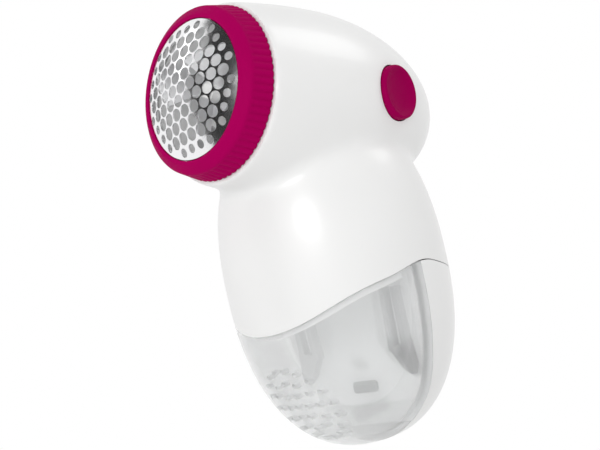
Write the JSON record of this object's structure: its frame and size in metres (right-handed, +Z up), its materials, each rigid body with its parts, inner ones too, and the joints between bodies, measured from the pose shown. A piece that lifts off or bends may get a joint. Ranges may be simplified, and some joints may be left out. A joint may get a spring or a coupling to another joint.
{
  "type": "fabric shaver",
  "caption": "Hand-held battery fabric shaver: domed perforated foil in a knurled ring, egg-shaped head and leaning handle, push button, frosted lint container and battery door.",
  "frame": {"origin": "centre of the cutter ring's flat front face, on the blade axis", "axes": "-Y out of the foil, +Y to the rear of the head, +Z up along the handle to the head, +X to the side with the button"},
  "size_m": [0.0664, 0.0969, 0.128],
  "materials": {
    "white_shell": "white ABS, satin gloss",
    "magenta": "magenta ABS, satin",
    "magenta_button": "deep magenta ABS, satin",
    "foil_steel": "bright perforated steel",
    "blade_steel": "stamped steel",
    "shaft_steel": "ground steel",
    "can_steel": "zinc plated drawn steel",
    "screw_steel": "zinc plated",
    "contact_steel": "nickel plated spring steel",
    "armature_iron": "iron stack with copper windings",
    "magnet_ferrite": "ferrite",
    "brass": "stamped brass",
    "grey_plastic": "light grey ABS",
    "dark_plastic": "black ABS or nylon",
    "switch_white": "nylon",
    "frosted": "frosted clear styrene",
    "catch_grey": "grey acetal",
    "pad_rubber": "rubber",
    "cell_jacket": "printed cell jacket",
    "red_wire": "insulated copper",
    "black_wire": "insulated copper"
  },
  "bodies": {
    "housing": {"upper_housing": "white_shell", "cutter_bed": "grey_plastic", "bed_screws": "screw_steel", "motor_can": "can_steel", "motor_magnets": "magnet_ferrite", "motor_end_cap": "dark_plastic", "motor_terminals": "brass", "motor_cradle": "grey_plastic", "lint_chute": "grey_plastic", "deck": "grey_plastic", "battery_cells": "cell_jacket", "battery_tray": "dark_plastic", "tray_screws": "screw_steel", "bottom_contact": "contact_steel", "top_contacts": "contact_steel", "contact_springs": "contact_steel", "switch_body": "dark_plastic", "switch_terminals": "brass", "switch_carrier": "grey_plastic", "carrier_screws": "screw_steel", "button_spring": "contact_steel", "motor_switch_wire": "red_wire", "switch_cell_wire": "red_wire", "cell_motor_wire": "black_wire"},
    "rotor": {"blades": "blade_steel", "blade_hub": "dark_plastic", "motor_shaft": "shaft_steel", "motor_armature": "armature_iron"},
    "ring": {"cutter_ring": "magenta", "foil": "foil_steel", "foil_retainer": "grey_plastic"},
    "button": {"power_button": "magenta_button"},
    "plunger": {"switch_plunger": "switch_white"},
    "container": {"lint_container": "frosted", "container_catches": "catch_grey", "rest_pad": "pad_rubber"},
    "door": {"battery_door": "white_shell"}
  },
  "joints": [
    {"name": "blade_spin", "type": "hinge", "parent": "housing", "child": "rotor", "pos_m": [0, 0.02, 0], "axis": [0, 1, 0], "continuous": true},
    {"name": "ring_twist", "type": "hinge", "parent": "housing", "child": "ring", "pos_m": [0, 0.005, 0], "axis": [0, -1, 0], "range_deg": [0, 25]},
    {"name": "button_push", "type": "slide", "parent": "housing", "child": "button", "axis": [-0.963, -0.2445, -0.1131], "range_m": [0, 0.0015], "stiffness_N_per_m": 600, "springref_m": -0.001, "deforming": ["button_spring"]},
    {"name": "plunger_slide", "type": "slide", "parent": "housing", "child": "plunger", "axis": [-0.963, -0.2445, -0.1131], "range_m": [0, 0.0015]},
    {"name": "container_slide", "type": "slide", "parent": "housing", "child": "container", "axis": [0, 0, -1], "range_m": [0, 0.045]},
    {"name": "door_slide", "type": "slide", "parent": "housing", "child": "door", "axis": [0, 0.3156, -0.9489], "range_m": [0, 0.06]}
  ],
  "couplings": [
    {"joint": "plunger_slide", "follows": "button_push", "ratio": 1}
  ]
}
